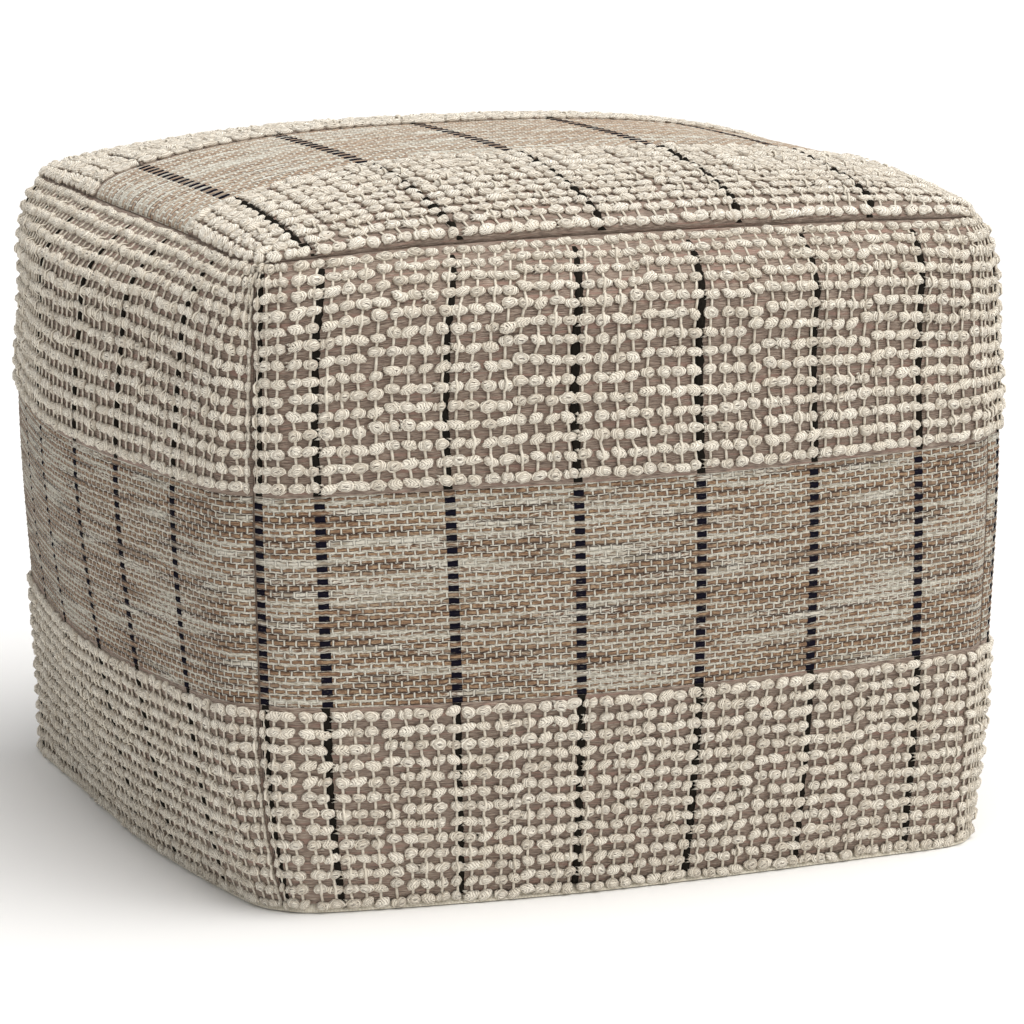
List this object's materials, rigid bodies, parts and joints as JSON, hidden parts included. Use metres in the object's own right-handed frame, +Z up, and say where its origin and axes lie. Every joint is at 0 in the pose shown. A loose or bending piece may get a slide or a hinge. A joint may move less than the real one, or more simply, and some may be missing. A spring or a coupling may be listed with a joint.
{
  "type": "cube pouf stool",
  "caption": "Stuffed cube pouf with a crowned top, swelling sides drawn in to a flat base, and bands of bobbled and flat woven cloth.",
  "frame": {"origin": "middle of the underside, on the surface that the pouf stands on", "axes": "+Z up; +X to the right and +Y to the back, seen from the front panel, which faces -Y; the bands of the top panel run along X"},
  "size_m": [0.4784, 0.4784, 0.3611],
  "materials": {
    "bobble_cloth": "matt cream yarn bobbles on a taupe ground, with flat woven bands of tan and pale threads and dark warp stripes",
    "base_cloth": "matt plain light cream cloth"
  },
  "bodies": {
    "root": {"top_panel": "bobble_cloth", "front_panel": "bobble_cloth", "right_panel": "bobble_cloth", "back_panel": "bobble_cloth", "left_panel": "bobble_cloth", "base_panel": "base_cloth"}
  },
  "joints": []
}
